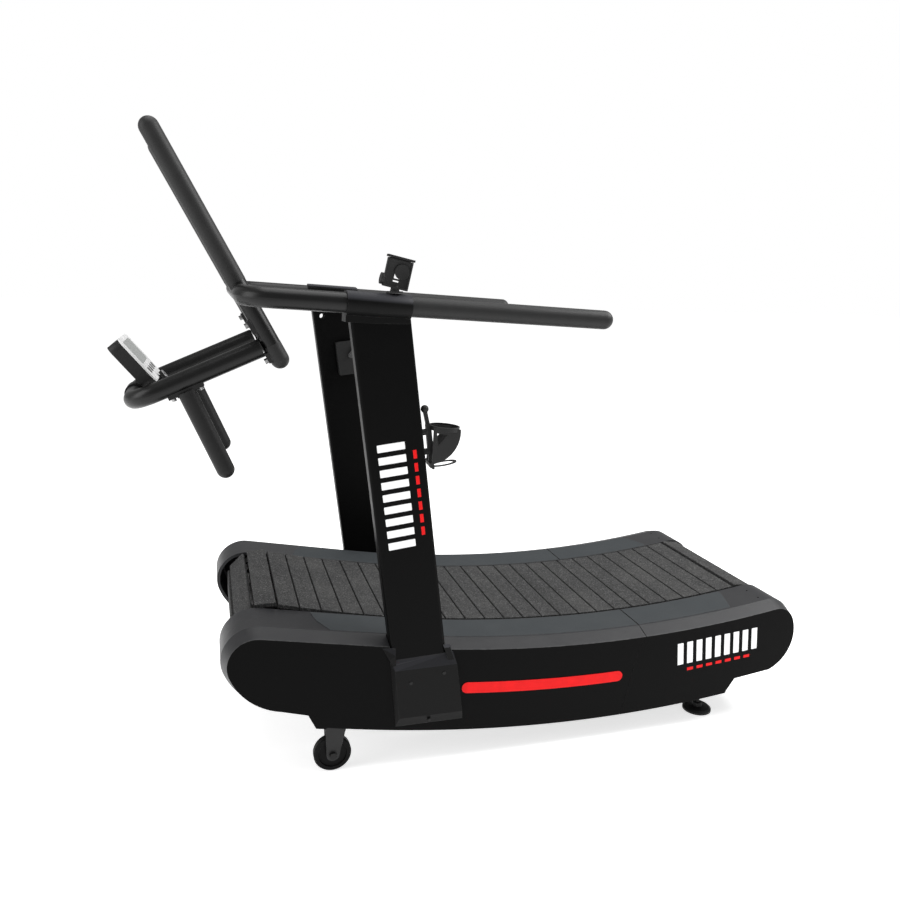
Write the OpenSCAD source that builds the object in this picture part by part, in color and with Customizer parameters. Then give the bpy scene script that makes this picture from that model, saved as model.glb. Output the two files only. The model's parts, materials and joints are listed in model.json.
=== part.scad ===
// Curved manual treadmill with a slatted running belt, side covers, handrail, push arms and console.
// +X points to the rear of the deck, +Y to the runner's right, +Z up. Origin: on the floor under the middle.

/* [Running belt] */
// Radius of the curved running surface
deck_r = 3610; // [3400:10:3900]
// Height of the lowest point of the running surface
deck_low = 319; // [310:1:330]
// Width of the slats
belt_w = 432; // [400:1:440]
// Number of slats in the loop
slat_n = 58; // [56:1:58]
// Thickness of a slat's tread
slat_t = 12; // [10:0.5:12]

/* [Covers] */
// Half width over the side panels
panel_y = 385; // [380:1:390]
// Wall thickness of the moulded covers
wall = 3; // [2.5:0.1:3.5]
// Height of the side panels below the running surface
panel_drop = 251; // [246:1:256]

/* [Uprights and rails] */
// Forward lean of the uprights, degrees
lean = 7.45; // [7:0.05:8]
// Outer radius of the rail, arm and hoop tubes
tube_r = 24; // [22:0.5:24.5]
// Half distance between the handrail tubes
rail_y = 380; // [378:1:384]
// Half distance between the push arms
arm_y = 170; // [165:1:180]

/* [Running gear] */
// Radius of the transport wheels
wheel_r = 50; // [45:1:50]
// Radius of the levelling feet
foot_r = 43; // [35:1:45]
// Track rollers on each side
roller_n = 15; // [10:1:15]

/* [Hidden] */
$fn = 48;
FINE = 1440;

// deck axis and belt loop
deck_x = 304;
deck_z = deck_low + deck_r;
D = [deck_x, deck_z];
drum_r = 92;
pitch_d = slat_t;
a_front = -14.15;
a_rear = 8.85;
top_r = deck_r + pitch_d;
low_r = deck_r + 2 * drum_r - pitch_d;
turn_r = drum_r - pitch_d;
rad = PI / 180;
top_len = top_r * (a_rear - a_front) * rad;
low_len = low_r * (a_rear - a_front) * rad;
turn_len = turn_r * 180 * rad;
loop_len = top_len + low_len + 2 * turn_len;
slat_pitch = loop_len / slat_n;
slat_gap = 3;
first_gap = 6.6;
slat_y = belt_w / 2;
rib_h = 16;
carrier_y = 185;
carrier_w = 40;
carrier_t = 5;
drum_front = D + (deck_r + drum_r) * [sin(a_front), -cos(a_front)];
drum_rear = D + (deck_r + drum_r) * [sin(a_rear), -cos(a_rear)];

// cover outline: the crown line is the reference, its nose arcs are tangent to it
crown_d = 2;
bevel = 15;
cap_y0 = slat_y + 6;
cap_y1 = 340;
nose_front = [-639, 338];
nose_front_r = 86;
chin_turn = 200;
chin_grow = 97;
chin_front = nose_front - chin_grow * [cos(chin_turn), sin(chin_turn)];
chin_front_r = nose_front_r + chin_grow;
chin_end = 258;
nose_gap = norm(nose_front - D);
nose_a = atan2(nose_front[0] - deck_x, deck_z - nose_front[1]);
a_straight = nose_a + acos((deck_r + crown_d + nose_front_r) / nose_gap);
straight_len = sqrt(nose_gap * nose_gap - pow(deck_r + crown_d + nose_front_r, 2));
a_tail = 9.195;
tail_r = 75;
tail = D + (deck_r + crown_d + tail_r) * [sin(a_tail), -cos(a_tail)];
tail_turn = 22.7;
tail_grow = 62;
heel = tail - tail_grow * [cos(tail_turn), sin(tail_turn)];
heel_r = tail_r + tail_grow;
heel_end = -68;
a_seam = 2.3;

// uprights
post_w = 146;
post_t = 46;
post_y = 363;
post_foot_x = -181.2;
post_foot_z = 150;
post_top_z = 1197;
rail_tilt = 2.54;
rail_z0 = 1210.2;
rail_slope = tan(rail_tilt);
rail_front_x = -648;
rail_bend = 80;
rail_rear_x = 244;
cap_front_x = -421;
cap_rear_x = -266;

// push arms, hoop and console
arm_top = [-846, 1613];
arm_foot = [-555, 1075];
arm_len = norm(arm_top - arm_foot);
arm_tilt = atan2(arm_top[0] - arm_foot[0], arm_top[1] - arm_foot[1]);
rail_cross = [rail_front_x, rail_z0 - rail_slope * rail_front_x];
hoop_front = [-915, 967];
hoop_root = [-601, 1104];
hoop_tilt = atan2(hoop_root[1] - hoop_front[1], hoop_root[0] - hoop_front[0]);
hoop_len = norm(hoop_root - hoop_front);
hoop_bend = 70;
handle_at = 130;
handle_len = 249;
face_mid = [-900.4, 1064];
face_tilt = 39.8;
console_w = 200;
console_h = 138;
console_t = 37;
pivot = [-850, 975];

// running gear
wheel_at = [-446, wheel_r];
wheel_y = 345;
foot_at = [700, 303];
lift_at = [912, 138];
lift_arm_y = 324;
lift_arm_t = 6;
cap_screw_x = 868;
cap_screw_y = [262, 318];
rail_y0 = 270;
rail_y1 = 334;
rail_d0 = 186;
rail_d1 = 246;
fan_at = D + (deck_r + 97) * [sin(-10.95), -cos(-10.95)];
fan_r = 70;
yoke_at = fan_at + [58, 62];

function deck(a, d) = D + (deck_r + d) * [sin(a), -cos(a)];
function deck_a(x, d) = asin((x - deck_x) / (deck_r + d));
function arc(c, r, p0, p1, n) = [for (i = [0:n]) let (p = p0 + (p1 - p0) * i / n) c + r * [cos(p), sin(p)]];

// ---- helpers ----
// extrudes a shape drawn in the XZ plane along Y
module slab(y0, y1) translate([0, y1, 0]) rotate([90, 0, 0]) linear_extrude(y1 - y0) children();
module rod(at, r, y0, y1) slab(y0, y1) translate(at) circle(r);
module both() { children(); mirror([0, 1, 0]) children(); }
// revolves a profile drawn as [radius, y] about an axis along Y, between two directions
module swing(c, p0, p1)
  translate([c[0], 0, c[1]]) rotate([-90, 0, 0]) rotate([0, 0, -p1])
    rotate_extrude(angle = p1 - p0, $fn = FINE) children();
module wedge(a0, a1) polygon([[0, 0], 5000 * [sin(a0), -cos(a0)], 5000 * [sin(a1), -cos(a1)]]);
// a band under the running surface, between two depths and two angles
module band(d0, d1, a0, a1)
  translate(D) intersection() {
    difference() { circle(deck_r + d1, $fn = FINE); circle(deck_r + d0, $fn = FINE); }
    wedge(a0, a1);
  }
module box_round(w, h, r)
  union() {
    square([w - 2 * r, h], center = true);
    square([w, h - 2 * r], center = true);
    for (i = [-1, 1]) for (j = [-1, 1]) translate([i * (w / 2 - r), j * (h / 2 - r)]) circle(r);
  }
// a bar with round ends between two points
module link(p, q, r) {
  dir = atan2(q[1] - p[1], q[0] - p[0]);
  polygon(concat(arc(p, r, dir + 90, dir + 270, 16), arc(q, r, dir - 90, dir + 90, 16)));
}
// a tube from p, tilted from +Z in the XZ plane, with a round far end
module round_bar(p, y, tilt, from, to, r)
  translate([p[0], y, p[1]]) rotate([0, tilt, 0]) {
    translate([0, 0, from]) cylinder(r = r, h = to - from);
    translate([0, 0, to]) sphere(r);
  }

// ---- belt ----
module loop_frame(s) {
  s1 = s - top_len;
  s2 = s1 - turn_len;
  s3 = s2 - low_len;
  beta = s1 < 0 ? -(a_front + s / top_r / rad)
    : s2 < 0 ? -a_rear + s1 / turn_r / rad
    : s3 < 0 ? 180 - (a_rear - s2 / low_r / rad)
    : 180 - a_front + s3 / turn_r / rad;
  at = s1 < 0 ? deck(-beta, pitch_d)
    : s2 < 0 ? drum_rear + turn_r * [sin(beta), cos(beta)]
    : s3 < 0 ? D + low_r * [sin(180 - beta), -cos(180 - beta)]
    : drum_front + turn_r * [sin(beta), cos(beta)];
  translate([at[0], 0, at[1]]) rotate([0, beta, 0]) children();
}
module slat() {
  w = slat_pitch - slat_gap;
  slab(-slat_y, slat_y) polygon([[-w / 2 + 1, 0], [w / 2 - 1, 0], [w / 2, slat_t - 2], [w / 2 - 2, slat_t],
    [-w / 2 + 2, slat_t], [-w / 2, slat_t - 2]]);
  slab(-150, 150) polygon([[-3, -rib_h], [3, -rib_h], [3, 0.5], [-3, 0.5]]);
}
module slat_belt()
  color([0.24, 0.24, 0.24])
    for (i = [0:slat_n - 1]) loop_frame(first_gap + (i + 0.5) * slat_pitch) slat();
module carrier_belts()
  color([0.1, 0.1, 0.1]) both() {
    r0 = turn_r - carrier_t;
    y0 = carrier_y - carrier_w / 2;
    flat_gap = 0.2;
    swing(D, a_front - 90, a_rear - 90) translate([deck_r + pitch_d + flat_gap, y0])
      square([carrier_t - flat_gap, carrier_w]);
    swing(D, a_front - 90, a_rear - 90) translate([deck_r + drum_r + r0, y0])
      square([carrier_t - 0.05, carrier_w]);
    part = 0.02;
    swing(drum_front, 90 + a_front + part, 270 + a_front - part) translate([r0, y0])
      square([carrier_t - 0.05, carrier_w]);
    swing(drum_rear, a_rear - 90 + part, 90 + a_rear - part) translate([r0, y0])
      square([carrier_t - 0.05, carrier_w]);
  }

// ---- drums ----
module drum(c) {
  rod(c, 10, -262, 262);
  rod(c, 30, -150, 150);
  both() {
    slab(carrier_y - 20, carrier_y + 20) difference() {
      translate(c) circle(turn_r - carrier_t - 0.4, $fn = 96);
      translate(c) circle(64, $fn = 96);
    }
    slab(carrier_y - 4, carrier_y + 4) difference() {
      translate(c) circle(65, $fn = 96);
      for (k = [0:5]) translate(c) rotate(60 * k) translate([43, 0]) circle(12);
    }
    rod(c, 22, 148, carrier_y + 20);
  }
}
module front_drum()
  color("silver") {
    drum(drum_front);
    rod(drum_front, 10, 260, 284);
    slab(263, 277) difference() {
      translate(drum_front) circle(55, $fn = 96);
      for (k = [0:4]) translate(drum_front) rotate(72 * k) translate([32, 0]) circle(11);
    }
  }
module rear_drum() color("silver") drum(drum_rear);

// ---- frame ----
module side_plate()
  slab(232, 238) difference() {
    union() {
      band(20, 176, a_front + 0.2, a_rear - 0.2);
      translate(drum_front) circle(46);
      translate(drum_rear) circle(46);
    }
    for (a = [-11.2:2.2:7]) translate(deck(a, 108)) circle(36);
    translate(drum_front) circle(14);
    translate(drum_rear) circle(14);
  }
module side_frame_right() color([0.13, 0.13, 0.13]) side_plate();
module side_frame_left() color([0.13, 0.13, 0.13]) mirror([0, 1, 0]) side_plate();
module base_rail()
  difference() {
    slab(rail_y0, rail_y1) band(rail_d0, rail_d1, -12, 8);
    slab(rail_y0 + 3, rail_y1 - 3) band(rail_d0 + 3, rail_d1 - 3, -13, 9);
    translate([foot_at[0], foot_at[1], 60]) cylinder(r = 6.6, h = 80);
  }
module base_rail_right()
  color([0.13, 0.13, 0.13]) {
    base_rail();
    difference() {
      translate([foot_at[0], foot_at[1], 99]) cylinder(r = 12, h = 20);
      translate([foot_at[0], foot_at[1], 90]) cylinder(r = 6.56, h = 40);
    }
  }
module base_rail_left() mirror([0, 1, 0]) base_rail_right();
module cross_members()
  color([0.13, 0.13, 0.13]) {
    for (a = [-10.1, -1.3, 5.3]) rod(deck(a, 92), 16, -232, 232);
    for (a = [-11.6, -4, 3, 7.4]) both() slab(238, rail_y0) band(150, 240, a - 0.3, a + 0.3);
    rod(deck(-9, 216), 20, -rail_y0, rail_y0);
    rod(deck(6.5, 216), 20, -rail_y0, rail_y0);
    rod(lift_at, 11, 0.05 - lift_arm_y, lift_arm_y - 0.05);
    both() slab(lift_arm_y, lift_arm_y + lift_arm_t) difference() {
      link(deck(7.7, 216), lift_at, 18);
      band(0, 400, 6, 8.02);
    }
  }
module post_outriggers()
  color([0.13, 0.13, 0.13]) both() {
    slab(238, 339.8) translate([-265, 200]) square([120, 8]);
    slab(238, 339.8) translate([-265, 262]) square([120, 8]);
    slab(238, 244) translate([-280, 190]) square([150, 90]);
    slab(333.8, 339.8) translate([-280, 190]) square([140, 90]);
  }
module bearing_blocks()
  color("dimgray") both()
    for (c = [drum_front, drum_rear])
      slab(238.2, 258) difference() {
        union() {
          translate(c) circle(34);
          translate(c) box_round(104, 26, 8);
        }
        translate(c) circle(10.05);
      }
module track_rollers()
  color("gainsboro") both()
    for (i = [0:roller_n - 1]) {
      c = deck(-12.7 + i * 1.42, slat_t + carrier_t + 20.5);
      rod(c, 5, 170, 231.9);
      difference() { rod(c, 20, 175, 195); rod(c, 5.05, 174, 196); }
    }

// ---- covers ----
// sweeps a profile drawn as [depth, y] along the crown line; its lengths meet 0.01 mm apart
function open_turn(r) = 0.01 / r / rad;
module crown_front(a_end) {
  rim = deck_r + crown_d;
  swing(D, a_straight - 90 + open_turn(rim), a_end - 90) translate([rim, 0]) children();
  translate([deck_x, 0, deck_z]) rotate([-90, 0, 0]) rotate([0, 0, 90 - a_straight])
    translate([0, straight_len - 0.01, 0]) rotate([90, 0, 0])
      linear_extrude(straight_len - 0.01) translate([rim, 0]) children();
  swing(nose_front, 90 + a_straight, chin_turn - open_turn(nose_front_r))
    translate([nose_front_r, 0]) mirror([1, 0]) children();
  swing(chin_front, chin_turn, chin_end) translate([chin_front_r, 0]) mirror([1, 0]) children();
}
module crown_rear(a_start) {
  rim = deck_r + crown_d;
  swing(D, a_start - 90, a_tail - 90 - open_turn(rim)) translate([rim, 0]) children();
  swing(tail, tail_turn + open_turn(tail_r), 90 + a_tail) translate([tail_r, 0]) mirror([1, 0]) children();
  swing(heel, heel_end, tail_turn) translate([heel_r, 0]) mirror([1, 0]) children();
}
// the cap ends at the panel's top edge and has a lip behind it
seam = bevel - 0.15;
lip_y = panel_y - wall - 0.3;
lip_t = 2;
lip_h = 8;
module cap_profile()
  polygon([[0, cap_y0], [0, cap_y1], [seam, panel_y], [seam, lip_y], [seam + lip_h, lip_y],
    [seam + lip_h, lip_y - lip_t], [seam + 1.4, lip_y - lip_t], [wall, cap_y1 - 0.8],
    [wall, cap_y0 + wall], [9, cap_y0 + wall], [9, cap_y0]]);
module post_window()
  translate([post_foot_x, 0, 0]) rotate([0, -lean, 0])
    translate([-post_w / 2 - 1.5, post_y - post_t / 2 - 1.2, post_foot_z - 11]) cube([post_w + 3, 80, 600]);
module deck_cap_front_right()
  color([0.29, 0.29, 0.31]) difference() {
    crown_front(a_seam - 0.02) cap_profile();
    post_window();
  }
module deck_cap_front_left() mirror([0, 1, 0]) deck_cap_front_right();
module deck_cap_rear_right()
  color([0.29, 0.29, 0.31]) difference() {
    crown_rear(a_seam + 0.02) cap_profile();
    for (y = cap_screw_y) translate([cap_screw_x, y, 300]) cylinder(r = 3, h = 100);
    translate([lift_at[0] - 45, lift_arm_y - 1, lift_at[1] - 40]) cube([100, lift_arm_t + 2, 60]);
  }
module deck_cap_rear_left() mirror([0, 1, 0]) deck_cap_rear_right();
pad_front = [[-490, cap_y0 + 4], [-478, cap_y0 + 60], [-450, cap_y1 - 5]];
pad_rear = [[757, cap_y1 - 5], [768, cap_y0 + 86], [780, cap_y0 + 50], [790, cap_y0 + 16], [786, cap_y0 + 4]];
module pad_strip()
  polygon([[-1.2, cap_y0 + 5], [-0.05, cap_y0 + 4], [-0.05, cap_y1 - 5], [-1.2, cap_y1 - 6]]);
module foot_pads()
  color([0.25, 0.28, 0.29]) both() {
    gap = 0.03;
    intersection() {
      crown_front(a_seam - gap) pad_strip();
      linear_extrude(900) polygon(concat(pad_front, [[480, cap_y1 + 20], [480, cap_y0 - 20]]));
    }
    intersection() {
      crown_rear(a_seam + gap) pad_strip();
      linear_extrude(900) polygon(concat([[420, cap_y0 - 20], [420, cap_y1 + 20]], pad_rear));
    }
  }

crown_n = 24;
function front_edge(o) = concat(
  arc(D, deck_r + crown_d + o, deck_a(445, o) - 90, a_straight - 90, crown_n),
  arc(nose_front, nose_front_r - o, 90 + a_straight, chin_turn, 14),
  arc(chin_front, chin_front_r - o, chin_turn, chin_end, 10));
function rear_edge(o) = concat(
  arc(D, deck_r + crown_d + o, deck_a(446, o) - 90, a_tail - 90, crown_n),
  arc(tail, tail_r - o, 90 + a_tail, tail_turn, 12),
  arc(heel, heel_r - o, tail_turn, heel_end, 12));
module panel_shape_front()
  polygon(concat(front_edge(bevel), [[-513, 187], [-493, 147], [-468, 142]],
    arc(D, deck_r + panel_drop, deck_a(-464, panel_drop) - 90, deck_a(383, panel_drop) - 90, crown_n),
    [[420, 236], [436, 285]]));
module panel_shape_rear()
  polygon(concat(rear_edge(bevel), [[763.5, 137], [738.5, 100]],
    arc(D, deck_r + panel_drop, deck_a(735, panel_drop) - 90, deck_a(384, panel_drop) - 90, 12),
    [[421, 236], [437, 285]]));
module side_panel_front_right()
  color([0.1, 0.1, 0.1]) difference() {
    union() {
      slab(panel_y - wall, panel_y) panel_shape_front();
      slab(panel_y - 18, panel_y - wall + 0.1)
        band(panel_drop - wall, panel_drop - 0.2, deck_a(-460, panel_drop), deck_a(380, panel_drop));
    }
    post_window();
  }
module side_panel_front_left() mirror([0, 1, 0]) side_panel_front_right();
module side_panel_rear_right()
  color([0.1, 0.1, 0.1]) {
    slab(panel_y - wall, panel_y) panel_shape_rear();
    slab(panel_y - 18, panel_y - wall + 0.1)
      band(panel_drop - wall, panel_drop - 0.2, deck_a(388, panel_drop), deck_a(732, panel_drop));
  }
module side_panel_rear_left() mirror([0, 1, 0]) side_panel_rear_right();
module accent_stripes()
  color([1, 0.16, 0.16]) both()
    slab(panel_y, panel_y + 1.5) {
      a0 = deck_a(-87, 127);
      a1 = deck_a(365, 127);
      band(111.5, 142.5, a0, a1);
      translate(deck(a0, 127)) circle(15.5);
      translate(deck(a1, 127)) circle(15.5);
    }

// ---- uprights ----
module post(hole)
  color([0.11, 0.11, 0.11]) difference() {
    translate([post_foot_x, post_y, 0]) rotate([0, -lean, 0]) difference() {
      translate([0, 0, 60]) linear_extrude(1300) box_round(post_w, post_t, 9);
      translate([0, 0, 50]) linear_extrude(1320) box_round(post_w - 6, post_t - 6, 6);
    }
    translate([-600, 200, -100]) cube([900, 400, 100 + post_foot_z]);
    translate([-900, 200, post_top_z]) cube([1200, 400, 400]);
    if (hole) translate([-378, 300, 1158]) rotate([-90, 0, 0]) cylinder(r = 8, h = 120);
  }
module post_right() post(true);
module post_left() mirror([0, 1, 0]) post(false);
// a raised casing on the side panel: flat face, sloping lip round the post, sloping foot
boot_y0 = panel_y + 0.2;
boot_y1 = 397;
boot_screws = [[-247, 251], [-157, 270], [-194, 138]];
module post_boot_right()
  color([0.2, 0.2, 0.21]) difference() {
    union() {
      hull() {
        slab(boot_y0, boot_y0 + 1) polygon([[-301, 316], [-250, 310], [-180, 312], [-131, 324], [-100,
          150], [-98, 124],
          [-284, 124], [-278, 150]]);
        slab(boot_y1 - 1, boot_y1) polygon([[-290, 289], [-250, 284], [-170, 285], [-122, 292], [-103, 152],
          [-276, 152]]);
      }
      hull() {
        slab(boot_y0, boot_y0 + 1) polygon([[-322, 352], [-301, 312], [-288, 290], [-288, 350]]);
        slab(391, 392) polygon([[-304, 320], [-290, 290], [-286, 290], [-288, 330]]);
      }
      hull() {
        slab(boot_y0, boot_y0 + 1) polygon([[-121, 291], [-141, 346], [-160, 346], [-140, 291]]);
        slab(392, 393) polygon([[-124, 291], [-142, 340], [-158, 340], [-140, 291]]);
      }
    }
    post_window_tight();
    for (p = boot_screws) rod(p, 4.55, 390.9, 400);
  }
module post_window_tight()
  translate([post_foot_x, post_y, 0]) rotate([0, -lean, 0])
    translate([0, 0, 60]) linear_extrude(600) box_round(post_w + 0.6, post_t + 0.6, 9.3);
module post_boot_left() mirror([0, 1, 0]) post_boot_right();
module rail_frame() translate([0, 0, rail_z0]) rotate([0, rail_tilt, 0]) children();
module post_cap_right()
  color([0.16, 0.16, 0.17]) difference() {
    union() {
      intersection() {
        rail_frame() translate([cap_front_x, 0, 0]) rotate([90, 0, 90])
          linear_extrude(cap_rear_x - cap_front_x) {
          translate([rail_y, 0]) circle(tube_r + 5);
          translate([post_y - 29, -44]) square([46 + 9, 44]);
          translate([post_y - 29, -10]) square([17, 30]);
          translate([post_y - 13, 13]) square([20, 14]);
          translate([post_y - 13, 20]) circle(7);
        }
        translate([-500, 0, 1182]) cube([400, 500, 200]);
      }
    }
    rail_frame() translate([-500, rail_y, 0]) rotate([0, 90, 0]) cylinder(r = tube_r + 0.05, h = 400);
    post_window_top();
  }
module post_window_top()
  intersection() {
    translate([post_foot_x, post_y, 0]) rotate([0, -lean, 0])
      translate([0, 0, 900]) linear_extrude(400) box_round(post_w + 0.4, post_t + 0.4, 9);
    translate([-600, 200, 1100]) cube([600, 400, post_top_z - 1100]);
  }
module post_cap_left() mirror([0, 1, 0]) post_cap_right();

// ---- handrail ----
rail_len_front = 1 / cos(rail_tilt);
module rail_bore(r)
  rail_frame() {
    bend_x = (rail_front_x + rail_bend) * rail_len_front;
    both() {
      translate([bend_x, rail_y, 0]) rotate([0, 90, 0])
        cylinder(r = r, h = (cap_rear_x - 4 - rail_front_x - rail_bend) * rail_len_front);
      translate([bend_x, rail_y - rail_bend, 0]) rotate([0, 0, 90])
        rotate_extrude(angle = 90, $fn = 96) translate([rail_bend, 0]) circle(r);
    }
    translate([bend_x - rail_bend, -(rail_y - rail_bend), 0]) rotate([-90, 0, 0])
      cylinder(r = r, h = 2 * (rail_y - rail_bend));
  }
module handrail()
  color([0.1, 0.1, 0.1]) {
    rail_bore(tube_r);
    rail_frame() both() translate([cap_rear_x - 8, rail_y, 0]) rotate([0, 90, 0])
      cylinder(r = 17, h = rail_rear_x - cap_rear_x + 8);
  }
module rail_grips()
  color([0.14, 0.14, 0.14]) rail_frame() both() difference() {
    union() {
      translate([cap_rear_x - 3.5, rail_y, 0]) rotate([0, 90, 0])
        cylinder(r = tube_r, h = rail_rear_x - cap_rear_x + 3.5);
      translate([rail_rear_x, rail_y, 0]) sphere(tube_r);
    }
    translate([cap_rear_x - 20, rail_y, 0]) rotate([0, 90, 0])
      cylinder(r = 17, h = rail_rear_x - cap_rear_x + 20);
  }

// ---- push arms and hoop ----
cross_at = (rail_cross - arm_foot) * (arm_top - arm_foot) / arm_len;
module arm_cope() rail_frame() rotate([90, 0, 0])
  translate([(rail_front_x + rail_bend) * rail_len_front - rail_bend, 0, -300])
    cylinder(r = tube_r + 0.02, h = 600);
module push_arms()
  color([0.11, 0.11, 0.11]) difference() {
    both() {
      round_bar(arm_foot, arm_y, arm_tilt, 20, arm_len - 12, 16);
      round_bar(arm_foot, arm_y, arm_tilt, 42, cross_at + 28, tube_r - 0.5);
    }
    arm_cope();
    both() translate([arm_foot[0], arm_y, arm_foot[1]]) rotate([0, arm_tilt, 0])
      translate([0, 0, cross_at + 28]) rotate_extrude() translate([16, 0]) square([20, 40]);
  }
module arm_sleeves()
  color([0.15, 0.15, 0.15]) both() translate([arm_foot[0], arm_y, arm_foot[1]]) rotate([0, arm_tilt, 0])
    difference() {
      union() {
        translate([0, 0, cross_at + 28]) cylinder(r = tube_r, h = arm_len - cross_at - 28);
        translate([0, 0, arm_len]) sphere(tube_r);
        cylinder(r = tube_r, h = 42);
        sphere(tube_r);
      }
      translate([0, 0, 20]) cylinder(r = 16.03, h = arm_len - 32);
      translate([0, 0, arm_len - 12]) sphere(16.03);
    }
module hoop_frame() translate([hoop_front[0], 0, hoop_front[1]]) rotate([0, -hoop_tilt, 0]) children();
module arm_bore(grow) both() translate([arm_foot[0], arm_y, arm_foot[1]]) rotate([0, arm_tilt, 0])
  cylinder(r = tube_r + grow, h = cross_at);
module console_hoop()
  color([0.11, 0.11, 0.11]) difference() {
    hoop_frame() {
      both() {
        translate([hoop_bend, arm_y, 0]) rotate([0, 90, 0]) cylinder(r = tube_r, h = hoop_len - hoop_bend);
        translate([hoop_bend, arm_y - hoop_bend, 0]) rotate([0, 0, 90])
          rotate_extrude(angle = 90, $fn = 96) translate([hoop_bend, 0]) circle(tube_r);
      }
      translate([0, hoop_bend - arm_y, 0]) rotate([-90, 0, 0])
        cylinder(r = tube_r, h = 2 * (arm_y - hoop_bend));
    }
    arm_bore(4.2);
  }
module hoop_brackets()
  color([0.13, 0.13, 0.13]) difference() {
    both() translate([arm_foot[0], arm_y, arm_foot[1]]) rotate([0, arm_tilt, 0])
      difference() {
        translate([-tube_r - 4, -17, 4]) cube([20, 34, 118]);
        translate([-30, -20, 40]) cube([10, 40, 46]);
      }
    arm_bore(0.02);
    hoop_bore();
  }
module hoop_bore() hoop_frame() both()
  translate([hoop_bend, arm_y, 0]) rotate([0, 90, 0]) cylinder(r = tube_r + 0.02, h = hoop_len);
module sled_handles()
  color([0.15, 0.15, 0.15]) both() hoop_frame() difference() {
    union() {
      translate([handle_at, arm_y, -handle_len]) cylinder(r = tube_r - 1, h = handle_len - tube_r - 4);
      translate([handle_at, arm_y, -handle_len]) sphere(tube_r - 1);
      translate([handle_at, arm_y, -tube_r - 10]) cylinder(r = tube_r + 2, h = 8);
      translate([handle_at - 46, arm_y - 17, -tube_r - 6]) cube([92, 34, 12]);
    }
    translate([hoop_bend, arm_y, 0]) rotate([0, 90, 0]) cylinder(r = tube_r + 0.02, h = hoop_len);
  }

// ---- console ----
// console frame: +Z out of the face, +X down the face
module face_frame() translate([face_mid[0], 0, face_mid[1]]) rotate([0, 90 - face_tilt, 0]) children();
key_x = 38;
lock_x = 72;
module console_bracket()
  color([0.13, 0.13, 0.13]) difference() {
    union() {
      slab(-9, 9) link(hoop_front, pivot, 8);
      slab(-24, 24) translate(hoop_front) circle(tube_r + 5);
    }
    rod(hoop_front, tube_r + 0.02, -40, 40);
    rod(pivot, 4.05, -40, 40);
  }
module console_pivot_knob()
  color([0.08, 0.08, 0.08]) {
    rod(pivot, 4, -20, 22);
    slab(-34, -18) translate(pivot) for (k = [0:4]) rotate(72 * k) translate([7, 0]) circle(6);
    slab(18, 24) translate(pivot) circle(8, $fn = 6);
  }
module console_housing()
  color([0.09, 0.09, 0.09]) {
    face_frame() difference() {
      translate([0, 0, -console_t]) linear_extrude(console_t - 4) box_round(console_h, console_w, 22);
      translate([0, 0, -9]) linear_extrude(10) box_round(console_h - 12, console_w - 12, 18);
    }
    both() slab(9.5, 15) difference() {
      link(pivot, pivot + [-20, 24], 8);
      translate(pivot) circle(4.05);
    }
    face_frame() translate([lock_x, 0, 0]) {
      translate([0, 0, -24]) cylinder(r = 6, h = 29);
      translate([0, 0, 5]) cylinder(r = 13, h = 6.5);
    }
  }
module console_face()
  color([0.8, 0.81, 0.82]) face_frame() difference() {
    union() {
      translate([0, 0, -4]) linear_extrude(4) box_round(console_h, console_w, 22);
      translate([0, 0, -8.6]) linear_extrude(5) box_round(console_h - 13, console_w - 13, 18);
    }
    translate([-20, 0, -1.5]) linear_extrude(5) box_round(72, 150, 6);
    for (k = [0:3]) translate([key_x, (k - 1.5) * 40, -20]) cylinder(r = 9.4, h = 40);
    translate([lock_x, 0, -20]) cylinder(r = 6.4, h = 40);
  }
module console_screen()
  color([0.02, 0.03, 0.03]) face_frame() translate([-20, 0, -1.5]) linear_extrude(1)
    box_round(71.6, 149.6, 6);
module key(k) color([0.5, 0.52, 0.54]) face_frame() translate([key_x, (k - 1.5) * 40, -6.5])
  cylinder(r = 9, h = 8);
module console_key_1() key(0);
module console_key_2() key(1);
module console_key_3() key(2);
module console_key_4() key(3);
module console_cable()
  color([0.05, 0.05, 0.05]) translate([-916, 40, 991.6]) rotate([0, 8, 0]) cylinder(r = 2.5, h = 25.8);

// ---- accessories ----
// phone holder: an open tray that leans back, on a swivel post
holder_at = [-305, 1254];
holder_y = -380;
holder_lean = -12;
tray_w = 62;
tray_h = 74;
tray_t = 16;
module holder_frame()
  translate([holder_at[0], holder_y, holder_at[1] + 13]) rotate([0, -holder_lean, 0]) children();
module phone_holder_base()
  color([0.08, 0.08, 0.08]) {
    translate([holder_at[0], holder_y, holder_at[1] + 0.2]) cylinder(r = 20, h = 3.8);
    translate([holder_at[0], holder_y, holder_at[1] + 3]) cylinder(r = 11, h = 5);
  }
module phone_holder_back()
  color([0.08, 0.08, 0.08]) {
    translate([holder_at[0], holder_y, holder_at[1] + 8.4]) cylinder(r = 10, h = 9);
    holder_frame() difference() {
      union() {
        translate([-tray_w / 2, -tray_t / 2, 3]) cube([tray_w, tray_t, tray_h - 16]);
        translate([-tray_w / 2 + 6, -tray_t / 2, 0]) cube([tray_w - 12, tray_t, 3]);
        translate([-tray_w / 2 - 7, 0, 14]) rotate([0, 90, 0]) cylinder(r = 8, h = 8);
        translate([6, -tray_t / 2 + 1, 30]) rotate([90, 0, 0]) cylinder(r = 17, h = 4);
      }
      translate([-9, -20, 22]) rotate([-90, 0, 0]) linear_extrude(40)
        polygon([[-8, 0], [9, 0], [9, -6], [1, -8], [-1, -18],
        [-5, -18]]);
      translate([-9, -20, 10]) rotate([-90, 0, 0]) linear_extrude(40) square([17, 4], center = true);
      translate([-tray_w / 2 + 3, -2, 34]) cube([tray_w - 6, 20, tray_h]);
      translate([-20, -20, tray_h - 30]) rotate([-90, 0, 0]) cylinder(r = 4.3, h = 6);
    }
  }
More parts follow.
